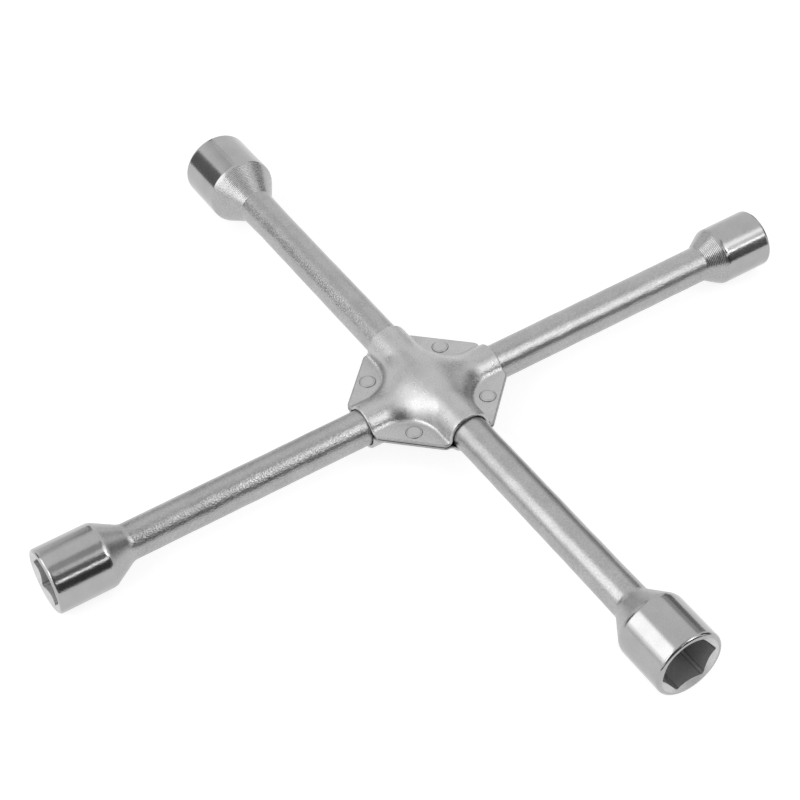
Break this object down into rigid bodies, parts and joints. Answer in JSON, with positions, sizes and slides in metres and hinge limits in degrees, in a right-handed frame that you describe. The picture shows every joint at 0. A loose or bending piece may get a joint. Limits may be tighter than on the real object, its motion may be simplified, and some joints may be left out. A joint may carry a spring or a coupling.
{
  "type": "lug wrench",
  "caption": "Cross-shaped wheel nut wrench: nested forged bars with a hexagonal socket at each end, clamped where they cross between pressed, riveted cover plates.",
  "frame": {"origin": "middle of the hub, where the bars' centre lines cross in plan, on the plane where the two cover plates meet", "axes": "+X along the upper bar towards the 21 mm socket, +Y along the lower bar towards the 17 mm socket, +Z square to both bars, towards the upper bar"},
  "size_m": [0.3573, 0.3476, 0.0345],
  "materials": {
    "bar_steel": "satin plating over a blasted forging",
    "plate_steel": "satin, fine blasted grain",
    "rivet_steel": "satin"
  },
  "bodies": {
    "root": {"bar_23_21": "bar_steel", "bar_19_17": "bar_steel", "top_plate": "plate_steel", "bottom_plate": "plate_steel", "rivet_23_17": "rivet_steel", "rivet_23_19": "rivet_steel", "rivet_21_19": "rivet_steel", "rivet_21_17": "rivet_steel"}
  },
  "joints": []
}
